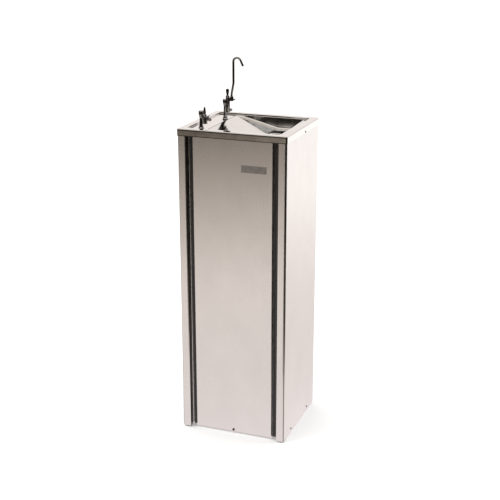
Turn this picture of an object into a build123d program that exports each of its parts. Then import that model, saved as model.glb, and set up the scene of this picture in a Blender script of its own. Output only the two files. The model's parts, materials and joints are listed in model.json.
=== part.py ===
"""Floor-standing refrigerated drinking fountain with a bubbler tap and a swan-neck glass filler.

Millimetres, +Z up. The origin is on the floor under the middle of the cabinet, and the front faces -Y.
"""

from build123d import *
import math
import os

os.makedirs("parts", exist_ok=True)

# Driving dimensions of the cabinet
CABINET_W = 351.0
CABINET_D = 318.0
HEIGHT = 1000.0
FOOT_H = 5.0
SHEET = 1.0
HALF_W = CABINET_W / 2
HALF_D = CABINET_D / 2

# Front posts, grooves and front panel
POST_W = 27.5
POST_BEND_R = 5.0
CORNER_BEND_R = 8.0
GROOVE_DEPTH = 22.0
GROOVE_FLOOR_W = 28.0
PANEL_W = 260.0
PANEL_RECESS = 9.0
PANEL_BOTTOM = FOOT_H + 2
PANEL_TOP = HEIGHT - 16
GROOVE_FLOOR_Y = -HALF_D + GROOVE_DEPTH
POST_INNER_X = HALF_W - POST_W
PANEL_FRONT_Y = -HALF_D + PANEL_RECESS

# Rear of the cabinet
REAR_INSET = 13.0
REAR_POST_W = 12.5
REAR_Y = HALF_D - REAR_INSET

# Top cap with its raised rim, deck and basin
CAP_SHEET = 1.2
CAP_OVERHANG = 1.5
CAP_W = CABINET_W + 2 * CAP_OVERHANG
CAP_D = CABINET_D + 2 * CAP_OVERHANG
CAP_H = 22.0
CAP_CORNER_R = 7.0
CAP_EDGE_R = 4.0
POCKET_R = 9.0
RIM_W = 24.0
RIM_STEP = 5.0
DECK_Z = HEIGHT - RIM_STEP
BASIN_LEFT = -92.0
BASIN_RIGHT = 140.0
BASIN_FLOOR_Z = 961.0
BASIN_FLOOR_LEFT = 52.0
BASIN_FLOOR_RIGHT = 94.0
BASIN_HALF_D = 128.0
BASIN_FILLET = 7.0
BASIN_DRAFT = 9.0
DRAIN_X = 72.0
DRAIN_Y = 30.0
DRAIN_HOLE_R = 20.0

# Screws that hold the shell together
SCREW_R = 1.5
REAR_SCREWS = [(sx * 156, z) for sx in (-1, 1) for z in (36, 490, 960)]
PAN_SCREWS_Y = (-85.0, 85.0)
PAN_SCREW_Z = FOOT_H + 13
CAP_SCREW_Y = 18.0
CAP_SCREW_Z = HEIGHT - 19

# Taps, measured from the deck
BUBBLER_AT = (-115.0, -112.0)
FILLER_AT = (-101.0, 50.0)
SHANK_R = 5.0
SHANK_LENGTH = 38.0
TAP_BORE_R = 2.2
RUNNING_GAP = 0.05
STEM_R = 2.2
COLLAR_R = 3.4
PIN_R = 1.5
LEVER_ARM = 4.5
PIVOT_RISE = 4.5
EAR_GAP = 3.3
EAR_T = 1.7
EAR_R = 3.6
HUB_R = 3.4
SWAN_R = 3.7
SWAN_OFFSET = 22.0

# Inside the cabinet
SHELF_Z = 478.0
TANK_AT = (-55.0, 5.0)
TANK_R = 62.0
COIL_R = 3.5
FOAM_R = 92.0
TANK_BOTTOM = SHELF_Z + 36
TANK_H = 260.0
COMPRESSOR_AT = (-88.0, 0.0)
COMPRESSOR_R = 66.0
CONDENSER_X = 82.0
FAN_Z = 112.0
FAN_R = 58.0
FAN_Y = 84.0
PAN_BOTTOM = FOOT_H + 1
PAN_SHEET = 1.2
PAN_TOP_FACE = PAN_BOTTOM + PAN_SHEET


def save(builder, name):
    """Labels a finished piece and writes it as its own STEP file."""
    builder.part.label = name
    export_step(builder.part, f"parts/{name}.step")


def xz_plane(x, y, z=0.0):
    """A plane whose sketch axes are +X and +Z, facing -Y."""
    return Plane((x, y, z), x_dir=(1, 0, 0), z_dir=(0, -1, 0))


def side_plane(side, x, y=0.0, z=0.0):
    """A plane on a side wall, facing outwards, whose sketch axes are +/-Y and +Z."""
    return Plane((side * x, y, z), x_dir=(0, side, 0), z_dir=(side, 0, 0))


def right_plane(x, y, z):
    """A plane facing +X, whose sketch axes are +Y and +Z."""
    return Plane((x, y, z), x_dir=(0, 1, 0), z_dir=(1, 0, 0))


def tube(points, radii, outer_r, wall):
    """A bent tube along straight runs joined by tangent arcs."""
    with BuildPart() as pipe:
        with BuildLine() as route:
            FilletPolyline(*points, radius=radii)
        start = Plane(route.line @ 0, z_dir=route.line % 0)
        with BuildSketch(start):
            Circle(outer_r)
            if wall:
                Circle(outer_r - wall, mode=Mode.SUBTRACT)
        sweep(path=route.line)
    return pipe


def turned(plane, outline, mode=Mode.ADD):
    """Revolves an outline of (radius, height) points, drawn on an XZ plane, about that plane's Z axis."""
    with BuildSketch(plane) as profile:
        with BuildLine():
            Polyline(*outline, close=True)
        make_face()
    revolve(profile.sketch, axis=Axis(plane.origin, (0, 0, 1)), mode=mode)


# ---------------------------------------------------------------- cabinet shell


def side_panel(side):
    """One side wall, bent round into the front post, its groove floor and the rear post."""
    x_out = side * HALF_W
    x_post = side * POST_INNER_X
    x_floor = side * (POST_INNER_X - GROOVE_FLOOR_W)
    x_rear = side * (HALF_W - REAR_POST_W)
    with BuildPart() as panel:
        with BuildSketch(Plane.XY.offset(FOOT_H)):
            with BuildLine():
                FilletPolyline(
                    (x_floor, GROOVE_FLOOR_Y),
                    (x_post, GROOVE_FLOOR_Y),
                    (x_post, -HALF_D),
                    (x_out, -HALF_D),
                    (x_out, HALF_D),
                    (x_rear, HALF_D),
                    (x_rear, REAR_Y),
                    (x_rear - side * REAR_POST_W, REAR_Y),
                    radius=[2, POST_BEND_R, CORNER_BEND_R, 5, 2, 2],
                )
                offset(amount=SHEET, side=Side.LEFT if side > 0 else Side.RIGHT)
            make_face()
        extrude(amount=HEIGHT - 8 - FOOT_H)
        with Locations(side_plane(side, HALF_W)):
            with Locations((side * CAP_SCREW_Y, CAP_SCREW_Z), *[(y, PAN_SCREW_Z) for y in PAN_SCREWS_Y]):
                Hole(SCREW_R, depth=3)
        with Locations(*[(x, REAR_Y, z) for x, z in REAR_SCREWS if x * side > 0]):
            Cylinder(SCREW_R, 6, rotation=(90, 0, 0), mode=Mode.SUBTRACT)
    save(panel, "right_side_panel" if side > 0 else "left_side_panel")


side_panel(1)
side_panel(-1)

# Glossy black profiles that line the groove floors, each with two lips and a shallow channel between them
TRIM_LEFT = PANEL_W / 2 + 1.0
TRIM_RIGHT = POST_INNER_X - 5.5
TRIM_LIP = 4.0
TRIM_H = 3.5
with BuildPart() as trims:
    for side in (-1, 1):
        with BuildSketch(Plane.XY.offset(FOOT_H + 2)):
            with BuildLine():
                FilletPolyline(
                    (side * TRIM_LEFT, GROOVE_FLOOR_Y),
                    (side * TRIM_LEFT, GROOVE_FLOOR_Y - TRIM_H),
                    (side * (TRIM_LEFT + TRIM_LIP), GROOVE_FLOOR_Y - TRIM_H),
                    (side * (TRIM_LEFT + TRIM_LIP + 1), GROOVE_FLOOR_Y - 1.5),
                    (side * (TRIM_RIGHT - TRIM_LIP - 1), GROOVE_FLOOR_Y - 1.5),
                    (side * (TRIM_RIGHT - TRIM_LIP), GROOVE_FLOOR_Y - TRIM_H),
                    (side * TRIM_RIGHT, GROOVE_FLOOR_Y - TRIM_H),
                    (side * TRIM_RIGHT, GROOVE_FLOOR_Y),
                    radius=[0, 1.2, 1.2, 0.3, 0.3, 1.2, 1.2, 0],
                    close=True,
                )
            make_face()
        extrude(amount=HEIGHT - 14 - FOOT_H)
save(trims, "groove_trims")

# Front panel: a tray whose returned edges stand on the groove floors
SCREW_Z = PANEL_BOTTOM + 7
PANEL_BACK_Y = GROOVE_FLOOR_Y - 0.5
with BuildPart() as front_panel:
    with BuildSketch(xz_plane(0, PANEL_BACK_Y)):
        with Locations((0, (PANEL_BOTTOM + PANEL_TOP) / 2)):
            Rectangle(PANEL_W, PANEL_TOP - PANEL_BOTTOM)
    extrude(amount=PANEL_BACK_Y - PANEL_FRONT_Y)
    fillet(front_panel.edges().group_by(Axis.Y)[0], 3)
    with BuildSketch(xz_plane(0, PANEL_BACK_Y)):
        with Locations((0, (PANEL_BOTTOM + PANEL_TOP) / 2)):
            Rectangle(PANEL_W - 2 * SHEET, PANEL_TOP - PANEL_BOTTOM - 2 * SHEET)
    extrude(amount=PANEL_BACK_Y - PANEL_FRONT_Y - SHEET, mode=Mode.SUBTRACT)
    with Locations(xz_plane(0, PANEL_FRONT_Y, SCREW_Z)):
        Hole(2.6, depth=3)
save(front_panel, "front_panel")

with BuildPart() as panel_screw:
    with BuildSketch(xz_plane(0, PANEL_FRONT_Y, SCREW_Z)):
        Circle(4)
    extrude(amount=2.4)
    fillet(panel_screw.edges().group_by(Axis.Y)[0], 1.8)
    with BuildSketch(xz_plane(0, PANEL_FRONT_Y, SCREW_Z)):
        Circle(2.4)
    extrude(amount=-14)
    with BuildSketch(xz_plane(0, PANEL_FRONT_Y - 2.4, SCREW_Z)):
        RegularPolygon(1.6, 6)
    extrude(amount=-1.5, mode=Mode.SUBTRACT)
save(panel_screw, "front_panel_screw")

BADGE_AT = (69.0, 890.0)
with BuildPart() as badge:
    with BuildSketch(xz_plane(BADGE_AT[0], PANEL_FRONT_Y, BADGE_AT[1])):
        RectangleRounded(80, 22, 2)
    extrude(amount=1.2)
    chamfer(badge.faces().sort_by(Axis.Y)[0].edges(), 0.4)
save(badge, "badge_plate")

# Floor pan: a tray between the side walls with a tongue between the posts
PAN_X = HALF_W - SHEET
PAN_FRONT_Y = GROOVE_FLOOR_Y + SHEET
PAN_REAR_Y = REAR_Y - SHEET
TONGUE_X = POST_INNER_X - GROOVE_FLOOR_W - 1.0
TONGUE_Y = PAN_FRONT_Y - 1.4
PAN_WALL = 25.0
FEET_AT = [(sx * 140, sy) for sx in (-1, 1) for sy in (-105, 112)]


def pan_plan(inset):
    """Corners of the floor pan, set in by the sheet thickness for its inside."""
    return [
        (-PAN_X + inset, PAN_FRONT_Y + inset),
        (-TONGUE_X + inset, PAN_FRONT_Y + inset),
        (-TONGUE_X + inset, TONGUE_Y + inset),
        (TONGUE_X - inset, TONGUE_Y + inset),
        (TONGUE_X - inset, PAN_FRONT_Y + inset),
        (PAN_X - inset, PAN_FRONT_Y + inset),
        (PAN_X - inset, PAN_REAR_Y - inset),
        (-PAN_X + inset, PAN_REAR_Y - inset),
    ]


with BuildPart() as base_pan:
    with BuildSketch(Plane.XY.offset(PAN_BOTTOM)):
        Polygon(*pan_plan(0), align=None)
    extrude(amount=PAN_WALL)
    with BuildSketch(Plane.XY.offset(PAN_TOP_FACE)):
        Polygon(*pan_plan(PAN_SHEET), align=None)
    extrude(amount=PAN_WALL, mode=Mode.SUBTRACT)
    with Locations(*[(x, y, PAN_TOP_FACE) for x, y in FEET_AT]):
        Hole(4, depth=3)
    with Locations(xz_plane(0, TONGUE_Y, SCREW_Z)):
        Hole(2.4, depth=3)
    for side in (-1, 1):
        with Locations(side_plane(side, PAN_X)):
            with Locations(*[(y, PAN_SCREW_Z) for y in PAN_SCREWS_Y]):
                Hole(SCREW_R, depth=3)
save(base_pan, "base_pan")

with BuildPart() as feet:
    for x, y in FEET_AT:
        turned(
            xz_plane(x, y),
            [(0, 0), (13, 0), (14, 1.5), (12, PAN_BOTTOM), (4, PAN_BOTTOM), (4, PAN_TOP_FACE),
             (6.5, PAN_TOP_FACE), (5, PAN_TOP_FACE + 2.5), (0, PAN_TOP_FACE + 2.5)],
        )
save(feet, "rubber_feet")

# Rear panel with embossed louvres, and the holes for what passes through it
REAR_PANEL_BOTTOM = PAN_BOTTOM + 2
REAR_PANEL_TOP = HEIGHT - 24
DRAIN_OUT_Z = 800.0
DRAIN_PIPE_R = 12.5
INLET_AT = (-100.0, 800.0)
INLET_R = 8.33
GLAND_AT = (-135.0, 330.0)
SWITCH_AT = (-80.0, 330.0)
THERMOSTAT_AT = (-20.0, 330.0)
LOUVRE_W = 84.0
LOUVRE_PITCH = 16.0
LOUVRE_X = (-96.0, 0.0, 96.0)
LOUVRE_BANKS = ((40.0, 16), (860.0, 5))
louvre_places = [
    (x, start + row * LOUVRE_PITCH) for start, rows in LOUVRE_BANKS for x in LOUVRE_X for row in range(rows)
]
with BuildPart() as rear_panel:
    with BuildSketch(xz_plane(0, REAR_Y + SHEET)):
        with Locations((0, (REAR_PANEL_BOTTOM + REAR_PANEL_TOP) / 2)):
            Rectangle(2 * (HALF_W - REAR_POST_W) - 5, REAR_PANEL_TOP - REAR_PANEL_BOTTOM)
        with Locations((DRAIN_X, DRAIN_OUT_Z)):
            Circle(DRAIN_PIPE_R, mode=Mode.SUBTRACT)
        with Locations(INLET_AT, GLAND_AT):
            Circle(INLET_R, mode=Mode.SUBTRACT)
        with Locations(SWITCH_AT):
            Rectangle(20, 13, mode=Mode.SUBTRACT)
        with Locations(THERMOSTAT_AT):
            Circle(5, mode=Mode.SUBTRACT)
        with Locations(*REAR_SCREWS):
            Circle(SCREW_R, mode=Mode.SUBTRACT)
        with Locations(*louvre_places):
            Rectangle(LOUVRE_W - 4, 5, mode=Mode.SUBTRACT)
    extrude(amount=SHEET)
    with BuildSketch(Plane.YZ.offset(-LOUVRE_W / 2)) as hood_profile:
        with BuildLine():
            Polyline(
                (REAR_Y + SHEET, 7),
                (REAR_Y + SHEET + 4.5, -2.5),
                (REAR_Y + SHEET + 3.6, -2.5),
                (REAR_Y + SHEET, 5),
                close=True,
            )
        make_face()
    hood = extrude(hood_profile.sketch, amount=LOUVRE_W, mode=Mode.PRIVATE)
    with Locations(*[(x, 0, z) for x, z in louvre_places]):
        add(hood)
save(rear_panel, "rear_panel")


# Pan-head screws of one size hold the rear panel, the side walls' feet and the cap's skirt
SCREW_PLACES = (
    [Plane((x, REAR_Y + SHEET, z), x_dir=(-1, 0, 0), z_dir=(0, 1, 0)) for x, z in REAR_SCREWS]
    + [side_plane(side, HALF_W, y, PAN_SCREW_Z) for side in (-1, 1) for y in PAN_SCREWS_Y]
    + [side_plane(side, CAP_W / 2, CAP_SCREW_Y, CAP_SCREW_Z) for side in (-1, 1)]
)
with BuildPart() as screws:
    for place in SCREW_PLACES:
        with BuildSketch(place):
            Circle(3)
        extrude(amount=1.2, taper=18)
        with BuildSketch(place):
            Circle(SCREW_R)
        extrude(amount=-4)
        with BuildSketch(place.offset(1.2)):
            Rectangle(3.4, 0.7)
            Rectangle(0.7, 3.4)
        extrude(amount=-0.7, mode=Mode.SUBTRACT)
save(screws, "cabinet_screws")

# Brackets on the side walls that carry the cap's rim
with BuildPart() as cap_brackets:
    for side in (-1, 1):
        for y in (-100, 100):
            with BuildSketch(Plane.XZ.offset(-y)):
                with BuildLine():
                    Polyline(
                        (side * PAN_X, HEIGHT - 45),
                        (side * PAN_X, HEIGHT - 6),
                        (side * (PAN_X - 2.5), HEIGHT - CAP_SHEET),
                        (side * (PAN_X - 17), HEIGHT - CAP_SHEET),
                        (side * (PAN_X - 17), HEIGHT - CAP_SHEET - 1.5),
                        (side * (PAN_X - 4), HEIGHT - CAP_SHEET - 1.5),
                        (side * (PAN_X - 1.5), HEIGHT - 8),
                        (side * (PAN_X - 1.5), HEIGHT - 45),
                        close=True,
                    )
                make_face()
            extrude(amount=10, both=True)
save(cap_brackets, "cap_brackets")

# ---------------------------------------------------------------- top cap and basin


def basin_corners(z_top, grow):
    """Cross-section of the basin: a long slope from the deck's crease to the drain, then a short one back."""
    left_slope = (DECK_Z - BASIN_FLOOR_Z) / (BASIN_FLOOR_LEFT - BASIN_LEFT)
    right_slope = (DECK_Z - BASIN_FLOOR_Z) / (BASIN_RIGHT - BASIN_FLOOR_RIGHT)
    rise = z_top - DECK_Z
    left_shift = grow * math.hypot(1, left_slope) / left_slope
    right_shift = grow * math.hypot(1, right_slope) / right_slope
    floor_z = BASIN_FLOOR_Z - grow
    left_foot = BASIN_FLOOR_LEFT - grow / left_slope * (math.hypot(1, left_slope) - 1)
    right_foot = BASIN_FLOOR_RIGHT + grow / right_slope * (math.hypot(1, right_slope) - 1)
    return [
        (BASIN_LEFT - left_shift - rise / left_slope, z_top),
        (left_foot, floor_z),
        (right_foot, floor_z),
        (BASIN_RIGHT + right_shift + rise / right_slope, z_top),
    ]


def basin_block(z_top, grow):
    """The basin's space as a solid: its front and back walls lean outwards and meet the floor in a round."""
    corners = basin_corners(z_top, grow)
    floor_z = corners[1][1]
    lean = math.tan(math.radians(BASIN_DRAFT))
    deck_y = BASIN_HALF_D + grow / math.cos(math.radians(BASIN_DRAFT))
    top_y = deck_y + (z_top - DECK_Z) * lean
    floor_y = deck_y - (DECK_Z - floor_z) * lean
    with BuildPart() as block:
        with BuildSketch(Plane.XZ):
            with BuildLine():
                FilletPolyline(*corners, radius=[60 + grow, 14 + grow])
                Line(corners[0], corners[-1])
            make_face()
        extrude(amount=CAP_D / 2, both=True)
        with BuildSketch(Plane.YZ):
            Polygon((-top_y, z_top), (-floor_y, floor_z), (floor_y, floor_z), (top_y, z_top), align=None)
        extrude(amount=CAP_W / 2, both=True, mode=Mode.INTERSECT)
        ends = block.faces().filter_by(lambda face: abs(face.normal_at().Y) > 0.9)
        lower = [e for face in ends for e in face.edges() if e.center().Z < z_top - 0.5]
        fillet(lower, BASIN_FILLET + grow)
    return block.part


basin_space = basin_block(DECK_Z + 1, 0)
basin_outside = basin_block(DECK_Z - 0.4, CAP_SHEET)
POCKET_W = CAP_W - 2 * RIM_W
POCKET_D = CAP_D - 2 * RIM_W
RECESS_R = 30.0
RECESS_DEPTH = 3.0

with BuildPart() as basin_top:
    with BuildSketch(Plane.XY.offset(HEIGHT - CAP_H)):
        RectangleRounded(CAP_W, CAP_D, CAP_CORNER_R)
    extrude(amount=CAP_H)
    fillet(basin_top.faces().sort_by(Axis.Z)[-1].edges(), CAP_EDGE_R)
    # pocket inside the raised rim
    with BuildSketch(Plane.XY.offset(HEIGHT)) as pocket:
        RectangleRounded(POCKET_W, POCKET_D, POCKET_R)
    extrude(amount=-RIM_STEP, mode=Mode.SUBTRACT)
    pocket_rim = basin_top.faces().sort_by(Axis.Z)[-1].inner_wires()[0].edges()
    fillet(pocket_rim, 0.8)
    pocket_foot = basin_top.faces().filter_by(Plane.XY).sort_by(Axis.Z)[-2].outer_wire().edges()
    fillet(pocket_foot, 1.2)
    # underside: full hollow below the deck, then a channel under the rim
    with BuildSketch(Plane.XY.offset(HEIGHT - CAP_H)):
        RectangleRounded(CAP_W - 2 * CAP_SHEET, CAP_D - 2 * CAP_SHEET, CAP_CORNER_R - CAP_SHEET)
    extrude(amount=CAP_H - RIM_STEP - CAP_SHEET, mode=Mode.SUBTRACT)
    rim_middle = HEIGHT - CAP_EDGE_R
    for inset, bottom, top in ((0, DECK_Z - CAP_SHEET, rim_middle), (2, rim_middle, HEIGHT - CAP_SHEET)):
        with BuildSketch(Plane.XY.offset(bottom)):
            RectangleRounded(
                CAP_W - 2 * (CAP_SHEET + inset), CAP_D - 2 * (CAP_SHEET + inset), CAP_CORNER_R - CAP_SHEET
            )
            RectangleRounded(
                POCKET_W + 2 * CAP_SHEET, POCKET_D + 2 * CAP_SHEET, POCKET_R + CAP_SHEET, mode=Mode.SUBTRACT
            )
        extrude(amount=top - bottom, mode=Mode.SUBTRACT)
    # basin: its outside joins the deck, its space is cut out
    add(basin_outside)
    with BuildSketch(Plane.XY.offset(BASIN_FLOOR_Z - RECESS_DEPTH - CAP_SHEET)):
        with Locations((DRAIN_X, DRAIN_Y)):
            Circle(RECESS_R - 6)
    extrude(amount=RECESS_DEPTH + CAP_SHEET, taper=-45)
    add(basin_space, mode=Mode.SUBTRACT)
    with BuildSketch(Plane.XY.offset(BASIN_FLOOR_Z - RECESS_DEPTH)):
        with Locations((DRAIN_X, DRAIN_Y)):
            Circle(RECESS_R - 7)
    extrude(amount=RECESS_DEPTH + 0.4, taper=-45, mode=Mode.SUBTRACT)
    with Locations((DRAIN_X, DRAIN_Y, BASIN_FLOOR_Z)):
        Hole(DRAIN_HOLE_R - 3, depth=8)
    with Locations((*BUBBLER_AT, DECK_Z), (*FILLER_AT, DECK_Z)):
        Hole(SHANK_R, depth=3)
    for side in (-1, 1):
        with Locations(side_plane(side, CAP_W / 2, CAP_SCREW_Y, CAP_SCREW_Z)):
            Hole(SCREW_R, depth=3)
save(basin_top, "basin_top")

# ---------------------------------------------------------------- drain

RECESS_Z = BASIN_FLOOR_Z - RECESS_DEPTH
DRAIN_AXIS = xz_plane(DRAIN_X, DRAIN_Y, RECESS_Z)
WASTE_R = DRAIN_HOLE_R - 3
WASTE_WALL = 2.0
WASTE_BOTTOM = -34.0
with BuildPart() as waste:
    turned(
        DRAIN_AXIS,
        [(WASTE_R - WASTE_WALL, 0), (WASTE_R, 0), (WASTE_R, WASTE_BOTTOM + 12), (DRAIN_PIPE_R, WASTE_BOTTOM + 8),
         (DRAIN_PIPE_R, WASTE_BOTTOM), (DRAIN_PIPE_R - 2, WASTE_BOTTOM), (DRAIN_PIPE_R - 2, WASTE_BOTTOM + 9),
         (WASTE_R - WASTE_WALL, WASTE_BOTTOM + 13)],
    )
    with BuildSketch(Plane((DRAIN_X, DRAIN_Y, RECESS_Z - 6))):
        Rectangle(2 * WASTE_R - 2, 3)
        Rectangle(3, 2 * WASTE_R - 2)
    extrude(amount=2)
    with Locations((DRAIN_X, DRAIN_Y, RECESS_Z - 4)):
        Hole(1.0, depth=3)
    turned(
        DRAIN_AXIS,
        [(WASTE_R - 0.5, 0), (21.5, 0), (22.5, 0.8), (WASTE_R - WASTE_WALL, 0.8), (WASTE_R - WASTE_WALL, 0)],
    )
save(waste, "drain_body")

with BuildPart() as strainer:
    with BuildSketch(Plane((DRAIN_X, DRAIN_Y, RECESS_Z + 0.8))):
        Circle(21)
        with PolarLocations(7, 6):
            SlotOverall(8, 2.6, mode=Mode.SUBTRACT)
        with PolarLocations(14, 12):
            SlotOverall(8, 2.6, mode=Mode.SUBTRACT)
        Circle(1.5, mode=Mode.SUBTRACT)
    extrude(amount=1.2)
    chamfer(strainer.edges().filter_by(GeomType.CIRCLE).filter_by(lambda e: e.radius > 20).sort_by(Axis.Z)[-1], 0.5)
save(strainer, "drain_strainer")

with BuildPart() as strainer_screw:
    turned(
        xz_plane(DRAIN_X, DRAIN_Y, RECESS_Z + 2.0),
        [(0, 1.4), (1.8, 1.3), (3.2, 0.6), (3.4, 0), (1.0, 0), (1.0, -8), (0, -8.6)],
    )
    with BuildSketch(Plane((DRAIN_X, DRAIN_Y, RECESS_Z + 3.4))):
        Rectangle(4.2, 0.7)
    extrude(amount=-0.8, mode=Mode.SUBTRACT)
save(strainer_screw, "strainer_screw")

with BuildPart() as drain_gasket:
    with BuildSketch(Plane((DRAIN_X, DRAIN_Y, RECESS_Z - CAP_SHEET - 2.5))):
        Circle(22)
        Circle(WASTE_R, mode=Mode.SUBTRACT)
    extrude(amount=2.5)
save(drain_gasket, "drain_gasket")

with BuildPart() as drain_nut:
    with BuildSketch(Plane((DRAIN_X, DRAIN_Y, RECESS_Z - CAP_SHEET - 9.5))):
        RegularPolygon(25, 8)
        Circle(WASTE_R, mode=Mode.SUBTRACT)
    extrude(amount=7)
save(drain_nut, "drain_nut")

TRAP_Z = 745.0
TRAP_Y = DRAIN_Y + 56
DRAIN_END_Y = HALF_D + 1
COLLAR_Y = REAR_Y + SHEET
COLLAR_T = 3.0
waste_run = tube(
    [
        (DRAIN_X, DRAIN_Y, RECESS_Z + WASTE_BOTTOM),
        (DRAIN_X, DRAIN_Y, TRAP_Z),
        (DRAIN_X, TRAP_Y, TRAP_Z),
        (DRAIN_X, TRAP_Y, DRAIN_OUT_Z),
        (DRAIN_X, DRAIN_END_Y, DRAIN_OUT_Z),
    ],
    [27, 27, 24],
    DRAIN_PIPE_R,
    2.0,
)
with BuildPart() as drain_pipe:
    add(waste_run.part)
    with BuildSketch(xz_plane(DRAIN_X, COLLAR_Y + COLLAR_T, DRAIN_OUT_Z)):
        Circle(DRAIN_PIPE_R + 4)
        Circle(DRAIN_PIPE_R - 1, mode=Mode.SUBTRACT)
    extrude(amount=COLLAR_T)
save(drain_pipe, "drain_pipe")

# ---------------------------------------------------------------- taps

FLANGE_R = 9.0
GASKET_H = 1.0


def column(plane, cap_top):
    """Threaded shank, foot flange, tapering column and round cap of a tap, turned in one piece."""
    turned(
        plane,
        [(0, -SHANK_LENGTH), (SHANK_R, -SHANK_LENGTH), (SHANK_R, GASKET_H), (FLANGE_R, GASKET_H),
         (FLANGE_R, GASKET_H + 1.5), (7.2, GASKET_H + 4), (6.2, 8), (5.4, 20), (5.2, cap_top - 22),
         (6.4, cap_top - 18), (6.6, cap_top - 14), (7.9, cap_top - 12), (7.9, cap_top - 2), (6.4, cap_top), (0, cap_top)],
    )


def valve_chest(x, y, bottom, top):
    """Upright valve housing that holds the spring and the stem."""
    with BuildSketch(Plane((x, y, DECK_Z + bottom))) as chest_plan:
        Circle(6.4)
    extrude(chest_plan.sketch, amount=top - bottom)


def chest_bores(x, y, bottom, top):
    """Cuts the spring chamber and the stem's guide out of a valve housing."""
    chamber_floor = DECK_Z + bottom + 4
    with BuildSketch(Plane((x, y, chamber_floor))) as chamber:
        Circle(COLLAR_R + 0.2)
    extrude(chamber.sketch, amount=top - bottom - 4 - 4, mode=Mode.SUBTRACT)
    with BuildSketch(Plane((x, y, chamber_floor))) as guide:
        Circle(STEM_R + RUNNING_GAP)
    extrude(guide.sketch, amount=top - bottom, mode=Mode.SUBTRACT)


def ears(x, y, top):
    """Two ears that carry the lever's pin, in front of the stem's axis."""
    for side in (-1, 1):
        with BuildSketch(right_plane(x + side * EAR_GAP, y - LEVER_ARM, DECK_Z + top + PIVOT_RISE)) as ear:
            Circle(EAR_R)
            with Locations((0, -3.4)):
                Rectangle(2 * EAR_R, 6.8)
            Circle(PIN_R, mode=Mode.SUBTRACT)
        extrude(ear.sketch, amount=side * EAR_T)


def lever_set(prefix, x, y, bottom, top, blade_top, tip_half_w, foot_half_w):
    """Lever, the stem that its nose presses down when it is pushed back, and the stem's return spring."""
    pivot_y = y - LEVER_ARM
    pivot_z = DECK_Z + top + PIVOT_RISE
    stem_top = DECK_Z + top + 1.6
    nose_r = 1.5
    nose_rise = stem_top + 0.1 + nose_r - pivot_z
    tip_r = tip_half_w * 0.8
    with BuildPart() as blade:
        with BuildSketch(xz_plane(x, pivot_y)):
            with BuildLine():
                FilletPolyline(
                    (-2.6, pivot_z + 2),
                    (2.6, pivot_z + 2),
                    (2.6, pivot_z + 4.2),
                    (foot_half_w, pivot_z + 5.4),
                    (tip_half_w, DECK_Z + blade_top),
                    (-tip_half_w, DECK_Z + blade_top),
                    (-foot_half_w, pivot_z + 5.4),
                    (-2.6, pivot_z + 4.2),
                    radius=[0.3, 0.3, 0.3, 0.5, tip_r, tip_r, 0.5, 0.3],
                    close=True,
                )
            make_face()
        extrude(amount=1.4, both=True)
        fillet(blade.faces().filter_by(Axis.Y).edges(), 0.5)

    with BuildPart() as lever:
        with BuildSketch(right_plane(x, pivot_y, pivot_z)):
            Circle(HUB_R)
            with Locations((LEVER_ARM / 2, nose_rise / 2)):
                Rectangle(LEVER_ARM, 2.2, rotation=math.degrees(math.atan2(nose_rise, LEVER_ARM)))
            with Locations((LEVER_ARM, nose_rise)):
                Circle(nose_r)
            Circle(PIN_R + RUNNING_GAP, mode=Mode.SUBTRACT)
        extrude(amount=EAR_GAP - 0.3, both=True)
        add(blade.part)
    save(lever, f"{prefix}_lever")

    chamber_floor = DECK_Z + bottom + 4
    chamber_top = DECK_Z + top - 4
    collar_h = 1.5
    with BuildPart() as stem:
        turned(
            xz_plane(x, y, chamber_top),
            [(0, -collar_h - 5), (1.2, -collar_h - 5), (1.2, -collar_h), (COLLAR_R, -collar_h), (COLLAR_R, -0.05),
             (STEM_R, -0.05), (STEM_R, stem_top - chamber_top - 0.3), (STEM_R - 0.3, stem_top - chamber_top),
             (0, stem_top - chamber_top)],
        )
    save(stem, f"{prefix}_stem")

    spring_h = chamber_top - collar_h - chamber_floor - 0.8
    spring_r = 2.5
    wire_r = 0.35
    with BuildPart() as spring:
        with BuildLine(Plane((x, y, chamber_floor + 0.4))) as coil:
            Helix(pitch=spring_h / 5, height=spring_h, radius=spring_r)
        with BuildSketch(Plane(coil.line @ 0, z_dir=coil.line % 0)):
            Circle(wire_r)
        sweep(path=coil.line, is_frenet=True)
    save(spring, f"{prefix}_spring")


# Bubbler: valve housing to the right of the column, jet arm below it
BUBBLER_CAP = 55.5
BUBBLER_CHEST = (16.0, 38.0)
CHEST_OFFSET = 13.5
JET_Z = 29.0
ARM_R = 4.4
bx, by = BUBBLER_AT
jet_start = bx + CHEST_OFFSET + 7
with BuildPart() as bubbler_body:
    column(xz_plane(bx, by, DECK_Z), BUBBLER_CAP)
    valve_chest(bx + CHEST_OFFSET, by, *BUBBLER_CHEST)
    ears(bx + CHEST_OFFSET, by, BUBBLER_CHEST[1])
    with BuildSketch(right_plane(bx, by, DECK_Z + JET_Z)):
        Circle(ARM_R)
    extrude(amount=jet_start - bx)
    chest_bores(bx + CHEST_OFFSET, by, *BUBBLER_CHEST)
    with BuildSketch(Plane((bx, by, DECK_Z - SHANK_LENGTH))):
        Circle(TAP_BORE_R)
    extrude(amount=SHANK_LENGTH + JET_Z, mode=Mode.SUBTRACT)
    with BuildSketch(right_plane(bx, by, DECK_Z + JET_Z)):
        Circle(TAP_BORE_R)
    extrude(amount=jet_start - bx, mode=Mode.SUBTRACT)
save(bubbler_body, "bubbler_body")
lever_set("bubbler", bx + CHEST_OFFSET, by, *BUBBLER_CHEST, 67.7, 2.4, 4.8)

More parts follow.
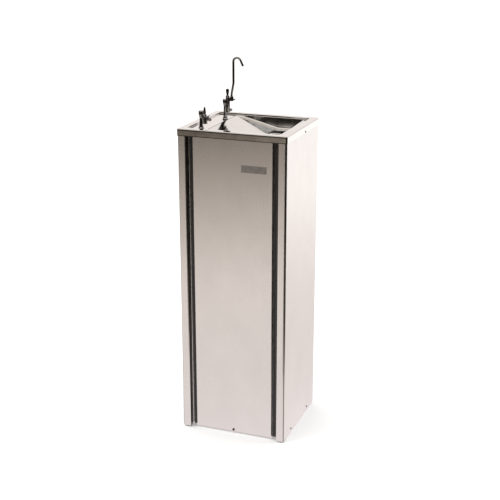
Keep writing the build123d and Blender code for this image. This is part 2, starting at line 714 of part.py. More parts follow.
# Jet arm with its upturned outlet and the guard that keeps the mouth off it
JET_PIPE = 5.0
JET_HEAD = 7.0
jet_x = jet_start + JET_PIPE + JET_HEAD / 2
with BuildPart() as nozzle:
    with BuildSketch(right_plane(jet_start, by, DECK_Z + JET_Z)):
        Circle(3.6)
    extrude(amount=JET_PIPE)
    with BuildSketch(right_plane(jet_start + JET_PIPE, by, DECK_Z + JET_Z)):
        Circle(4.6)
    extrude(amount=JET_HEAD)
    fillet(nozzle.edges().group_by(Axis.X)[-1], 1.5)
    with BuildSketch(Plane((jet_x, by, DECK_Z + JET_Z))):
        Circle(2.2)
    extrude(amount=6)
    with BuildSketch(xz_plane(jet_start + 2.5, by, DECK_Z + JET_Z + 2)):
        with BuildLine():
            FilletPolyline(
                (-2, 0), (-1.2, 9.5), (5.5, 11.8), (6.3, 10.2), (1.0, 8.2), (1.6, 0), radius=[1.5, 0.6, 0.6, 1.0]
            )
            Line((1.6, 0), (-2, 0))
        make_face()
    extrude(amount=3.4, both=True)
    with BuildSketch(right_plane(jet_start, by, DECK_Z + JET_Z)):
        Circle(1.5)
    extrude(amount=jet_x - jet_start + 1, mode=Mode.SUBTRACT)
    with BuildSketch(Plane((jet_x, by, DECK_Z + JET_Z))):
        Circle(1.0)
    extrude(amount=8, mode=Mode.SUBTRACT)
save(nozzle, "bubbler_nozzle")

# Glass filler: a taller column, the valve housing beside it, and a head with the swan neck's socket
FILLER_CAP = 65.0
FILLER_CHEST = (24.0, 70.0)
FILLER_CHEST_X = 10.0
FILLER_ARM_Z = 32.0
HEAD_Z = (60.0, 70.0)
HEAD_HALF_W = 6.2
WATERWAY_Z = 65.0
SOCKET_FLOOR = 62.0
fx, fy = FILLER_AT
head_end = fx + SWAN_OFFSET + HEAD_HALF_W
plug_start = fx + FILLER_CHEST_X + 9
with BuildPart() as filler_body:
    column(xz_plane(fx, fy, DECK_Z), FILLER_CAP)
    valve_chest(fx + FILLER_CHEST_X, fy, *FILLER_CHEST)
    with BuildSketch(Plane((fx, fy, DECK_Z + HEAD_Z[0]))):
        with Locations(((FILLER_CHEST_X + SWAN_OFFSET) / 2, 0)):
            RectangleRounded(SWAN_OFFSET - FILLER_CHEST_X + 2 * HEAD_HALF_W, 2 * HEAD_HALF_W, HEAD_HALF_W - 0.4)
    extrude(amount=HEAD_Z[1] - HEAD_Z[0])
    ears(fx + FILLER_CHEST_X, fy, FILLER_CHEST[1])
    with BuildSketch(right_plane(fx, fy, DECK_Z + FILLER_ARM_Z)):
        Circle(ARM_R)
    extrude(amount=plug_start - fx)
    chest_bores(fx + FILLER_CHEST_X, fy, *FILLER_CHEST)
    with BuildSketch(Plane((fx + SWAN_OFFSET, fy, DECK_Z + SOCKET_FLOOR))):
        Circle(SWAN_R + RUNNING_GAP)
    extrude(amount=HEAD_Z[1], mode=Mode.SUBTRACT)
    with BuildSketch(Plane((fx, fy, DECK_Z - SHANK_LENGTH))):
        Circle(TAP_BORE_R)
    extrude(amount=SHANK_LENGTH + FILLER_ARM_Z, mode=Mode.SUBTRACT)
    with BuildSketch(right_plane(fx, fy, DECK_Z + FILLER_ARM_Z)):
        Circle(TAP_BORE_R)
    extrude(amount=FILLER_CHEST_X, mode=Mode.SUBTRACT)
    with BuildSketch(right_plane(fx + FILLER_CHEST_X, fy, DECK_Z + WATERWAY_Z)):
        Circle(1.5)
    extrude(amount=SWAN_OFFSET, mode=Mode.SUBTRACT)
save(filler_body, "filler_body")
lever_set("filler", fx + FILLER_CHEST_X, fy, *FILLER_CHEST, 98.5, 6.3, 3.6)

# What the two taps share: seat gaskets above the deck, lock nuts below it, and the levers' pins
with BuildPart() as gaskets:
    for x, y in (BUBBLER_AT, FILLER_AT):
        with BuildSketch(Plane((x, y, DECK_Z))):
            Circle(FLANGE_R - 0.5)
            Circle(SHANK_R, mode=Mode.SUBTRACT)
        extrude(amount=GASKET_H)
save(gaskets, "tap_gaskets")

LOCK_NUT_H = 6.0
with BuildPart() as lock_nuts:
    for x, y in (BUBBLER_AT, FILLER_AT):
        with BuildSketch(Plane((x, y, DECK_Z - CAP_SHEET - LOCK_NUT_H))):
            RegularPolygon(9.8, 6)
            Circle(SHANK_R, mode=Mode.SUBTRACT)
        extrude(amount=LOCK_NUT_H)
save(lock_nuts, "tap_lock_nuts")

PIN_PLACES = (
    (bx + CHEST_OFFSET, by - LEVER_ARM, DECK_Z + BUBBLER_CHEST[1] + PIVOT_RISE),
    (fx + FILLER_CHEST_X, fy - LEVER_ARM, DECK_Z + FILLER_CHEST[1] + PIVOT_RISE),
)
with BuildPart() as pins:
    for place in PIN_PLACES:
        with BuildSketch(right_plane(*place)):
            Circle(PIN_R)
        extrude(amount=EAR_GAP + EAR_T + 0.4, both=True)
    chamfer(pins.edges().filter_by(GeomType.CIRCLE), 0.3)
save(pins, "lever_pins")

# Blanking plug on the filler's spare outlet and the screw that sets its flow
PLUG_HEX_H = 3.5
with BuildPart() as plug:
    with BuildSketch(right_plane(plug_start, fy, DECK_Z + FILLER_ARM_Z)):
        RegularPolygon(4.6, 6)
    extrude(amount=PLUG_HEX_H)
    with BuildSketch(right_plane(plug_start + PLUG_HEX_H, fy, DECK_Z + FILLER_ARM_Z)):
        Circle(2.6)
    extrude(amount=1.8)
    fillet(plug.edges().group_by(Axis.X)[-1], 0.8)
save(plug, "filler_blanking_plug")

FLOW_SCREW_L = 5.5
with BuildPart() as flow_screw:
    with BuildSketch(right_plane(head_end, fy, DECK_Z + WATERWAY_Z)):
        Circle(2.6)
    extrude(amount=FLOW_SCREW_L)
    chamfer(flow_screw.edges().group_by(Axis.X)[-1], 0.5)
    with BuildSketch(right_plane(head_end + FLOW_SCREW_L, fy, DECK_Z + WATERWAY_Z)):
        Rectangle(0.8, 4)
    extrude(amount=-1.2, mode=Mode.SUBTRACT)
save(flow_screw, "filler_flow_screw")

SWAN_NUT_H = 5.0
with BuildPart() as swan_nut:
    with BuildSketch(Plane((fx + SWAN_OFFSET, fy, DECK_Z + HEAD_Z[1]))):
        RegularPolygon(6.0, 6)
        Circle(SWAN_R + RUNNING_GAP, mode=Mode.SUBTRACT)
    extrude(amount=SWAN_NUT_H)
    chamfer(swan_nut.edges().group_by(Axis.Z)[-1].filter_by(GeomType.LINE), 0.5)
save(swan_nut, "swan_neck_nut")

# Swan neck: straight foot, slight lean, long leg and a hook that points down at HOOK_LEAN from the vertical
SWAN_LEG_X = 28.6
HOOK_R = 12.4
HOOK_LEAN = math.radians(25)
TIP = (60.6, 170.4)
corner_z = TIP[1] + (TIP[0] - SWAN_LEG_X) / math.tan(HOOK_LEAN)
swan_neck = tube(
    [
        (fx + SWAN_OFFSET, fy, DECK_Z + SOCKET_FLOOR + 0.2),
        (fx + SWAN_OFFSET, fy, DECK_Z + 80),
        (fx + SWAN_LEG_X, fy, DECK_Z + 116),
        (fx + SWAN_LEG_X, fy, DECK_Z + corner_z),
        (fx + TIP[0], fy, DECK_Z + TIP[1]),
    ],
    [40, 40, HOOK_R],
    SWAN_R,
    0.9,
)
save(swan_neck, "swan_neck_tube")

# ---------------------------------------------------------------- cold water circuit

with BuildPart() as shelf:
    with BuildSketch(Plane.XY.offset(SHELF_Z)):
        with Locations((0, (PAN_FRONT_Y + PAN_REAR_Y) / 2)):
            Rectangle(2 * PAN_X, PAN_REAR_Y - PAN_FRONT_Y - 2)
        with Locations((130, 0)):
            Circle(20, mode=Mode.SUBTRACT)
    extrude(amount=1.5)
    for side in (-1, 1):
        with BuildSketch(Plane.XY.offset(SHELF_Z - 20)):
            with Locations((side * (PAN_X - 0.75), 0)):
                Rectangle(1.5, 220)
        extrude(amount=20)
save(shelf, "tank_shelf")

tx, ty = TANK_AT
tank_plane = xz_plane(tx, ty, TANK_BOTTOM)
with BuildPart() as tank:
    turned(
        tank_plane,
        [(0, -6), (30, -5), (TANK_R - 6, -1), (TANK_R, 6), (TANK_R, TANK_H - 6), (TANK_R - 6, TANK_H + 1),
         (30, TANK_H + 5), (0, TANK_H + 6), (0, TANK_H + 4.5), (30, TANK_H + 3.5), (TANK_R - 6, TANK_H - 0.5),
         (TANK_R - 1.5, TANK_H - 6.5), (TANK_R - 1.5, 6.5), (TANK_R - 6, 0.5), (30, -3.5), (0, -4.5)],
    )
save(tank, "cold_tank")

COIL_TURNS = 8
with BuildPart() as evaporator:
    with BuildLine(Plane((tx, ty, TANK_BOTTOM + 30))) as winding:
        Helix(pitch=24, height=24 * COIL_TURNS, radius=TANK_R + COIL_R + 0.3)
    with BuildSketch(Plane(winding.line @ 0, z_dir=winding.line % 0)):
        Circle(COIL_R)
    sweep(path=winding.line, is_frenet=True)
save(evaporator, "evaporator_coil")

FOAM_IN = TANK_R + 2 * COIL_R + 1.2
with BuildPart() as foam:
    turned(
        tank_plane,
        [(0, -(TANK_BOTTOM - SHELF_Z - 1.5)), (FOAM_R, -(TANK_BOTTOM - SHELF_Z - 1.5)), (FOAM_R, TANK_H + 8),
         (FOAM_IN, TANK_H + 8), (FOAM_IN, -7), (0, -7)],
    )
save(foam, "tank_insulation")

PIPE_R = 3.2
PIPE_WALL = 0.8
FOAM_LID_Z = TANK_BOTTOM + TANK_H + 8
OUT_A = (tx - 25.0, ty - 30.0)
OUT_B = (tx - 20.0, ty + 30.0)
IN_C = (tx + 40.0, ty + 30.0)
with BuildPart() as foam_lid:
    with BuildSketch(Plane.XY.offset(FOAM_LID_Z)):
        with Locations((tx, ty)):
            Circle(FOAM_R)
        with Locations(OUT_A, OUT_B, IN_C):
            Circle(PIPE_R, mode=Mode.SUBTRACT)
    extrude(amount=24)
save(foam_lid, "insulation_lid")

TAIL_Z = DECK_Z - SHANK_LENGTH
bubbler_feed_pipe = tube(
    [(bx, by, TAIL_Z), (bx, by, 900), (*OUT_A, 860), (*OUT_A, FOAM_LID_Z)],
    [25, 20],
    PIPE_R,
    PIPE_WALL,
)
save(bubbler_feed_pipe, "bubbler_feed_pipe")
filler_feed_pipe = tube(
    [(fx, fy, TAIL_Z), (fx, fy, 900), (*OUT_B, 860), (*OUT_B, FOAM_LID_Z)],
    [20, 15],
    PIPE_R,
    PIPE_WALL,
)
save(filler_feed_pipe, "filler_feed_pipe")

# Mains inlet: an outside thread with a flange on the rear panel, held by a nut inside
INLET_PLANE = Plane((INLET_AT[0], REAR_Y + SHEET, INLET_AT[1]), x_dir=(-1, 0, 0), z_dir=(0, 1, 0))
INLET_NUT_H = 7.0
INLET_TAIL = 6.0
INLET_BORE_R = 4.0
inlet_inner = -SHEET - INLET_NUT_H - INLET_TAIL
with BuildPart() as inlet:
    with BuildSketch(INLET_PLANE.offset(COLLAR_T)):
        Circle(INLET_R)
    extrude(amount=REAR_INSET - COLLAR_T)
    chamfer(inlet.edges().group_by(Axis.Y)[-1], 0.8)
    with BuildSketch(INLET_PLANE):
        Circle(INLET_R + 3)
    extrude(amount=COLLAR_T)
    with BuildSketch(INLET_PLANE):
        Circle(INLET_R - 0.3)
    extrude(amount=-SHEET)
    with BuildSketch(INLET_PLANE.offset(-SHEET)):
        RegularPolygon(12.5, 6)
    extrude(amount=-INLET_NUT_H)
    with BuildSketch(INLET_PLANE.offset(-SHEET - INLET_NUT_H)):
        Circle(6)
    extrude(amount=-INLET_TAIL)
    with BuildSketch(INLET_PLANE.offset(REAR_INSET)):
        Circle(INLET_BORE_R)
    extrude(amount=-(REAR_INSET + 10), mode=Mode.SUBTRACT)
    with BuildSketch(INLET_PLANE.offset(inlet_inner)):
        Circle(PIPE_R)
    extrude(amount=8, mode=Mode.SUBTRACT)
save(inlet, "water_inlet")
inlet_pipe = tube(
    [
        (INLET_AT[0], REAR_Y - 11, INLET_AT[1]),
        (INLET_AT[0], 108, INLET_AT[1]),
        (INLET_AT[0], 108, 860),
        (IN_C[0], 108, 860),
        (*IN_C, 860),
        (*IN_C, FOAM_LID_Z),
    ],
    [12, 14, 14, 14],
    PIPE_R,
    PIPE_WALL,
)
save(inlet_pipe, "inlet_pipe")

# ---------------------------------------------------------------- refrigeration

cx, cy = COMPRESSOR_AT
COMPRESSOR_Z = PAN_TOP_FACE + 12
mount_places = [(cx + sx * 62, cy + sy * 62) for sx in (-1, 1) for sy in (-1, 1)]
with BuildPart() as compressor:
    with BuildSketch(Plane.XY.offset(COMPRESSOR_Z)):
        with Locations((cx, cy)):
            RectangleRounded(144, 144, 10)
        with Locations(*mount_places):
            Circle(6, mode=Mode.SUBTRACT)
    extrude(amount=3)
    can_z = COMPRESSOR_Z + 3
    with BuildSketch(xz_plane(cx, cy, can_z)) as can_profile:
        with BuildLine():
            FilletPolyline(
                (0, 0),
                (COMPRESSOR_R, 0),
                (COMPRESSOR_R, 78),
                (COMPRESSOR_R + 2.5, 78),
                (COMPRESSOR_R + 2.5, 82),
                (COMPRESSOR_R, 82),
                (COMPRESSOR_R, 135),
                (24, 158),
                (0, 158),
                radius=[14, 0.5, 0.5, 0.5, 0.5, 40, 30],
            )
            Line((0, 158), (0, 0))
        make_face()
    revolve(can_profile.sketch, axis=Axis((cx, cy, 0), (0, 0, 1)))
save(compressor, "compressor")

with BuildPart() as grommets:
    for x, y in mount_places:
        turned(
            xz_plane(x, y, PAN_TOP_FACE),
            [(2.5, 0), (9, 0), (9, 12), (6, 12), (6, 15), (9, 15), (9, 19), (2.5, 19)],
        )
save(grommets, "compressor_grommets")

with BuildPart() as terminal_box:
    with BuildSketch(Plane((cx, cy - COMPRESSOR_R - 4, can_z + 48), x_dir=(1, 0, 0), z_dir=(0, -1, 0))):
        RectangleRounded(62, 50, 5)
    extrude(amount=34)
    fillet(terminal_box.edges().group_by(Axis.Y)[0], 4)
    with BuildSketch(Plane((cx, cy - COMPRESSOR_R - 4, can_z + 48), x_dir=(1, 0, 0), z_dir=(0, -1, 0))):
        RectangleRounded(57, 45, 3)
    extrude(amount=31, mode=Mode.SUBTRACT)
save(terminal_box, "compressor_terminal_cover")

CONDENSER_W = 140.0
CONDENSER_H = 150.0
CONDENSER_Y = (101.0, 135.0)
with BuildPart() as condenser:
    with BuildSketch(Plane.XZ.offset(-CONDENSER_Y[0])):
        with Locations((CONDENSER_X, FAN_Z)):
            Rectangle(CONDENSER_W, CONDENSER_H)
            with GridLocations(7, 0, 18, 1):
                Rectangle(4.5, CONDENSER_H - 8, mode=Mode.SUBTRACT)
    extrude(amount=-(CONDENSER_Y[1] - CONDENSER_Y[0]))
    for y in (CONDENSER_Y[0] + 9, CONDENSER_Y[1] - 9):
        for row in range(5):
            tube_z = FAN_Z - 56 + row * 28
            with BuildSketch(Plane.YZ.offset(CONDENSER_X - CONDENSER_W / 2)):
                with Locations((y, tube_z)):
                    Circle(4)
            extrude(amount=CONDENSER_W)
save(condenser, "condenser")

SHROUD_Y = 92.0
with BuildPart() as shroud:
    with BuildSketch(Plane.XZ.offset(-SHROUD_Y)):
        with Locations((CONDENSER_X, FAN_Z)):
            Rectangle(CONDENSER_W, CONDENSER_H)
            Circle(FAN_R + 4, mode=Mode.SUBTRACT)
    extrude(amount=-1.5)
    with BuildSketch(Plane.XZ.offset(-SHROUD_Y)):
        with Locations((CONDENSER_X, FAN_Z)):
            Rectangle(CONDENSER_W, CONDENSER_H)
            Rectangle(CONDENSER_W - 3, CONDENSER_H - 3, mode=Mode.SUBTRACT)
    extrude(amount=-(CONDENSER_Y[0] - SHROUD_Y))
    with BuildSketch(Plane.XZ.offset(-SHROUD_Y)):
        with Locations((CONDENSER_X, FAN_Z)):
            Circle(FAN_R + 5.5)
            Circle(FAN_R + 4, mode=Mode.SUBTRACT)
    extrude(amount=18)
save(shroud, "fan_shroud")

MOTOR_FRONT_Y = 30.0
MOTOR_BACK_Y = 66.0
SHAFT_R = 3.0
with BuildPart() as motor:
    with BuildSketch(Plane.XZ.offset(-MOTOR_FRONT_Y)):
        with Locations((CONDENSER_X, FAN_Z)):
            Circle(27)
    extrude(amount=-(MOTOR_BACK_Y - MOTOR_FRONT_Y))
    fillet(motor.edges().filter_by(GeomType.CIRCLE), 4)
    with BuildSketch(Plane.XZ.offset(-MOTOR_BACK_Y)):
        with Locations((CONDENSER_X, FAN_Z)):
            Circle(SHAFT_R)
    extrude(amount=-24)
save(motor, "fan_motor")

with BuildPart() as motor_bracket:
    with BuildSketch(Plane.XZ.offset(-(MOTOR_FRONT_Y + 10))):
        with Locations((CONDENSER_X, FAN_Z)):
            Circle(33)
        with Locations((CONDENSER_X, (FAN_Z + PAN_TOP_FACE) / 2)):
            Rectangle(40, FAN_Z - PAN_TOP_FACE)
        with Locations((CONDENSER_X, FAN_Z)):
            Circle(27, mode=Mode.SUBTRACT)
    extrude(amount=-2)
    with BuildSketch(Plane.XY.offset(PAN_TOP_FACE)):
        with Locations((CONDENSER_X, MOTOR_FRONT_Y + 22)):
            Rectangle(40, 24)
    extrude(amount=2)
save(motor_bracket, "fan_motor_bracket")

BLADES = 5
with BuildPart() as fan:
    with BuildSketch(Plane.XZ.offset(-(FAN_Y - 8))):
        with Locations((CONDENSER_X, FAN_Z)):
            Circle(15)
            Circle(SHAFT_R + RUNNING_GAP, mode=Mode.SUBTRACT)
    extrude(amount=-13)
    for i in range(BLADES):
        angle = i * 360 / BLADES
        direction = Vector(math.cos(math.radians(angle)), 0, math.sin(math.radians(angle)))
        across = Vector(-math.sin(math.radians(angle)), 0, math.cos(math.radians(angle)))
        pitch_dir = across * math.cos(math.radians(30)) + Vector(0, 1, 0) * math.sin(math.radians(30))
        start = Vector(CONDENSER_X, FAN_Y - 1.5, FAN_Z) + direction * 12
        with BuildSketch(Plane(start, x_dir=pitch_dir, z_dir=direction)):
            RectangleRounded(22, 1.6, 0.7)
        extrude(amount=FAN_R - 12)
save(fan, "fan_blade")

DRIER_AT = (8.0, -70.0)
drier_plane = xz_plane(*DRIER_AT, 120)
with BuildPart() as drier:
    turned(
        drier_plane,
        [(0, 0), (3, 0), (3, 12), (9.5, 20), (9.5, 90), (3, 98), (3, 110), (0, 110)],
    )
save(drier, "filter_drier")

REFRIGERANT_R = 3.0
CAN_SHOULDER_Z = can_z + 60
discharge_pipe = tube(
    [
        (cx + COMPRESSOR_R + 0.5, cy - 20, CAN_SHOULDER_Z),
        (cx + COMPRESSOR_R + 20, cy - 20, CAN_SHOULDER_Z),
        (cx + COMPRESSOR_R + 20, cy - 20, 215),
        (cx + COMPRESSOR_R + 20, 118, 215),
        (CONDENSER_X, 118, 215),
        (CONDENSER_X, 118, FAN_Z + CONDENSER_H / 2),
    ],
    [10, 14, 14, 14],
    REFRIGERANT_R,
    0.8,
)
save(discharge_pipe, "discharge_pipe")
suction_pipe = tube(
    [
        (cx, cy + COMPRESSOR_R + 4, can_z + 100),
        (cx, cy + COMPRESSOR_R + 24, can_z + 100),
        (cx, cy + COMPRESSOR_R + 24, 440),
        (130, cy + COMPRESSOR_R + 24, 440),
        (130, 0, 460),
        (130, 0, 520),
    ],
    [9, 14, 14, 14],
    REFRIGERANT_R,
    0.8,
)
save(suction_pipe, "suction_pipe")
liquid_pipe = tube(
    [
        (*DRIER_AT, 230),
        (*DRIER_AT, 400),
        (130 - 8, DRIER_AT[1], 430),
        (130 - 8, 0, 450),
        (130 - 8, 0, 520),
    ],
    [14, 14, 14],
    1.6,
    0,
)
save(liquid_pipe, "liquid_pipe")

# ---------------------------------------------------------------- electrics on the rear panel


def rear_plane(place, out=0.0):
    """A plane on the rear panel's outer face, facing +Y."""
    return Plane((place[0], REAR_Y + SHEET + out, place[1]), x_dir=(-1, 0, 0), z_dir=(0, 1, 0))


GLAND_BORE_R = 3.6
with BuildPart() as gland:
    with BuildSketch(rear_plane(GLAND_AT, -SHEET - 8)):
        Circle(INLET_R)
    extrude(amount=8 + SHEET)
    with BuildSketch(rear_plane(GLAND_AT)):
        RegularPolygon(11, 6)
    extrude(amount=5)
    with BuildSketch(rear_plane(GLAND_AT, 5)):
        Circle(8.6)
    extrude(amount=5.5, taper=15)
    with BuildSketch(rear_plane(GLAND_AT, 11)):
        Circle(GLAND_BORE_R)
    extrude(amount=-21, mode=Mode.SUBTRACT)
save(gland, "cable_gland")

SWITCH_W = 19.6
SWITCH_H = 12.6
ROCKER_TILT = 10.0
ROCKER_PIVOT_OUT = -1.5
TRUNNION_R = 1.0
with BuildPart() as switch_body:
    with BuildSketch(rear_plane(SWITCH_AT, -SHEET - 16)):
        Rectangle(SWITCH_W, SWITCH_H)
    extrude(amount=16 + SHEET)
    with BuildSketch(rear_plane(SWITCH_AT)):
        RectangleRounded(SWITCH_W + 4, SWITCH_H + 4, 1.5)
    extrude(amount=1.8)
    with BuildSketch(rear_plane(SWITCH_AT, 1.8)):
        Rectangle(SWITCH_W - 3, SWITCH_H - 2)
    extrude(amount=-12, mode=Mode.SUBTRACT)
    with BuildSketch(Plane.YZ.offset(SWITCH_AT[0])):
        with Locations((REAR_Y + SHEET + ROCKER_PIVOT_OUT, SWITCH_AT[1])):
            Circle(TRUNNION_R + RUNNING_GAP)
    extrude(amount=SWITCH_W / 2 - 0.1, both=True, mode=Mode.SUBTRACT)
save(switch_body, "switch_housing")

ROCKER_W = SWITCH_W - 4
rocker_pivot = rear_plane(SWITCH_AT, ROCKER_PIVOT_OUT)
with BuildPart() as rocker:
    rocker_side = Plane(
        rocker_pivot.origin,
        x_dir=Vector(0, math.cos(math.radians(ROCKER_TILT)), math.sin(math.radians(ROCKER_TILT))),
        z_dir=(1, 0, 0),
    )
    with BuildSketch(rocker_side):
        with BuildLine():
            Polyline((-4, 0), (-1, -4.2), (5.6, -4.6), (4.4, 0), (5.6, 4.6), (-1, 4.2), close=True)
        make_face()
    extrude(amount=ROCKER_W / 2, both=True)
    with BuildSketch(Plane(rocker_side.origin, z_dir=(1, 0, 0))):
        Circle(TRUNNION_R)
    extrude(amount=SWITCH_W / 2 - 0.5, both=True)
save(rocker, "switch_rocker")

KNOB_R = 12.0
SPINDLE_R = 3.0
with BuildPart() as thermostat:
    with BuildSketch(rear_plane(THERMOSTAT_AT, -SHEET - 26)):
        RectangleRounded(46, 34, 3)
    extrude(amount=26)
    with BuildSketch(rear_plane(THERMOSTAT_AT, -SHEET)):
        Circle(5)
    extrude(amount=SHEET)
    with BuildSketch(rear_plane(THERMOSTAT_AT)):
        Circle(SPINDLE_R)
    extrude(amount=8)
save(thermostat, "thermostat")

with BuildPart() as knob:
    with BuildSketch(rear_plane(THERMOSTAT_AT, 0.5)):
        Circle(KNOB_R)
    extrude(amount=3)
    with BuildSketch(rear_plane(THERMOSTAT_AT, 3.5)):
        Circle(KNOB_R - 1.5)
        with PolarLocations(KNOB_R - 1.5, 12):
            Circle(1.0, mode=Mode.SUBTRACT)
    extrude(amount=6.5)
    fillet(knob.faces().sort_by(Axis.Y)[-1].edges(), 0.5)
    with BuildSketch(rear_plane(THERMOSTAT_AT, 10)):
        with Locations((0, KNOB_R / 2)):
            Rectangle(1.2, KNOB_R - 5)
    extrude(amount=-0.6, mode=Mode.SUBTRACT)
    with BuildSketch(rear_plane(THERMOSTAT_AT, 0.5)):
        Circle(SPINDLE_R + RUNNING_GAP)
    extrude(amount=8, mode=Mode.SUBTRACT)
save(knob, "thermostat_knob")
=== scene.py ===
"""Looks of the drinking fountain: a procedural material for every piece, the studio and the camera."""

import json
import math

import bpy
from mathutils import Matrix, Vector

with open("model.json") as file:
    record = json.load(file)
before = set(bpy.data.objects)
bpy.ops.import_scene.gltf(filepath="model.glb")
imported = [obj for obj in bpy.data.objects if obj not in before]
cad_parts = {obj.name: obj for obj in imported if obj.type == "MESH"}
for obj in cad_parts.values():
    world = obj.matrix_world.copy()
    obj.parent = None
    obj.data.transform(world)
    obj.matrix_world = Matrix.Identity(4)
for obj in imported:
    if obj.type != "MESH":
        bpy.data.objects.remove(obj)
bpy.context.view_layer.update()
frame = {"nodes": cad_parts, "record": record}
NODES = frame["nodes"]

# Where the painted shade lines of the steel lie, in metres in the row frame
GROOVE_WALL_X = 0.148
GROOVE_MIDDLE_Y = -0.1475
GROOVE_HALF_DEPTH = 0.0085
FRONT_BEND_X = 0.1738
FRONT_BEND_Y = -0.1573
DECK_FOLD_X = -0.0925
DECK_Z = 0.995
SKIRT_FRONT_Y = -0.1605
SKIRT_BOTTOM_Z = 0.978
SKIRT_TOP_Z = 0.9965

# Reflection cards round the fountain, in metres and in degrees from the front (-Y) towards +X
NEAR_FLOOR_R = 0.7
FLOOR_R = 6.0
CARD_BOTTOM = -0.02
CEILING = 9.0
CARD_STEPS = 24

# ---------------------------------------------------------------- material building blocks


class Finish:
    """A Principled material and short calls that wire procedural textures into it."""

    def __init__(self, name, **constants):
        self.material = bpy.data.materials.new(name)
        self.material.use_nodes = True
        self.tree = self.material.node_tree
        self.shader = self.tree.nodes["Principled BSDF"]
        for socket, value in constants.items():
            self.shader.inputs[socket.replace("_", " ")].default_value = value
        self.coordinates = self.node("ShaderNodeTexCoord").outputs["Object"]

    def node(self, kind, **settings):
        made = self.tree.nodes.new(kind)
        for setting, value in settings.items():
            setattr(made, setting, value)
        return made

    def link(self, output, target):
        self.tree.links.new(output, target)

    def stretched(self, scale):
        """The row frame's coordinates in metres, multiplied along each axis."""
        mapping = self.node("ShaderNodeMapping")
        mapping.inputs["Scale"].default_value = scale
        self.link(self.coordinates, mapping.inputs["Vector"])
        return mapping.outputs["Vector"]

    def noise(self, scale, detail=3.0, roughness=0.55):
        """Noise between 0 and 1 with its own scale along each axis, per metre."""
        texture = self.node("ShaderNodeTexNoise")
        texture.inputs["Scale"].default_value = 1.0
        texture.inputs["Detail"].default_value = detail
        texture.inputs["Roughness"].default_value = roughness
        self.link(self.stretched(scale), texture.inputs["Vector"])
        return texture.outputs["Fac"]

    def cells(self, scale):
        """A random grey in each Voronoi cell."""
        texture = self.node("ShaderNodeTexVoronoi")
        texture.inputs["Scale"].default_value = 1.0
        self.link(self.stretched(scale), texture.inputs["Vector"])
        split = self.node("ShaderNodeSeparateColor")
        self.link(texture.outputs["Color"], split.inputs["Color"])
        return split.outputs[0]

    def cell_distance(self, scale):
        """Distance to the nearest Voronoi point."""
        texture = self.node("ShaderNodeTexVoronoi")
        texture.inputs["Scale"].default_value = 1.0
        self.link(self.stretched(scale), texture.inputs["Vector"])
        return texture.outputs["Distance"]

    def distance_from(self, axis, centre, spacing=0.0):
        """Distance along one axis from the plane at centre, or from the pair at +/-spacing about it."""
        split = self.node("ShaderNodeSeparateXYZ")
        self.link(self.coordinates, split.inputs["Vector"])
        shift = self.node("ShaderNodeMath", operation="SUBTRACT")
        shift.inputs[1].default_value = centre
        self.link(split.outputs[axis], shift.inputs[0])
        size = self.node("ShaderNodeMath", operation="ABSOLUTE")
        self.link(shift.outputs["Value"], size.inputs[0])
        if not spacing:
            return size.outputs["Value"]
        pair_shift = self.node("ShaderNodeMath", operation="SUBTRACT")
        pair_shift.inputs[1].default_value = spacing
        self.link(size.outputs["Value"], pair_shift.inputs[0])
        pair_size = self.node("ShaderNodeMath", operation="ABSOLUTE")
        self.link(pair_shift.outputs["Value"], pair_size.inputs[0])
        return pair_size.outputs["Value"]

    def ranged(self, value, low, high, source=(0.3, 0.7)):
        """A texture value mapped from its usual spread to a range."""
        mapped = self.node("ShaderNodeMapRange")
        mapped.inputs["From Min"].default_value = source[0]
        mapped.inputs["From Max"].default_value = source[1]
        mapped.inputs["To Min"].default_value = low
        mapped.inputs["To Max"].default_value = high
        self.link(value, mapped.inputs["Value"])
        return mapped.outputs["Result"]

    def blended(self, value, low, high, source=(0.3, 0.7)):
        """A colour that goes from low to high with a texture value."""
        ramp = self.node("ShaderNodeValToRGB")
        ramp.color_ramp.elements[0].position = source[0]
        ramp.color_ramp.elements[0].color = (*low, 1)
        ramp.color_ramp.elements[1].position = source[1]
        ramp.color_ramp.elements[1].color = (*high, 1)
        self.link(value, ramp.inputs["Fac"])
        return ramp.outputs["Color"]

    def mixed(self, factor, first, second):
        """Two colours mixed by a texture value."""
        mix = self.node("ShaderNodeMix", data_type="RGBA")
        self.link(factor, mix.inputs["Factor"])
        self.link(first, mix.inputs["A"])
        self.link(second, mix.inputs["B"])
        return mix.outputs["Result"]

    def combined(self, first, second, operation="ADD"):
        """Two texture values joined by one arithmetic step."""
        math_node = self.node("ShaderNodeMath", operation=operation)
        self.link(first, math_node.inputs[0])
        self.link(second, math_node.inputs[1])
        return math_node.outputs["Value"]

    def colour(self, output):
        self.link(output, self.shader.inputs["Base Color"])

    def rough(self, output):
        self.link(output, self.shader.inputs["Roughness"])

    def bumps(self, *layers):
        """Stacks bumps, each given as (height, strength, depth in metres)."""
        normal = None
        for height, strength, depth in layers:
            bump = self.node("ShaderNodeBump")
            bump.inputs["Strength"].default_value = strength
            bump.inputs["Distance"].default_value = depth
            self.link(height, bump.inputs["Height"])
            if normal is not None:
                self.link(normal, bump.inputs["Normal"])
            normal = bump.outputs["Normal"]
        self.link(normal, self.shader.inputs["Normal"])


# ---------------------------------------------------------------- materials


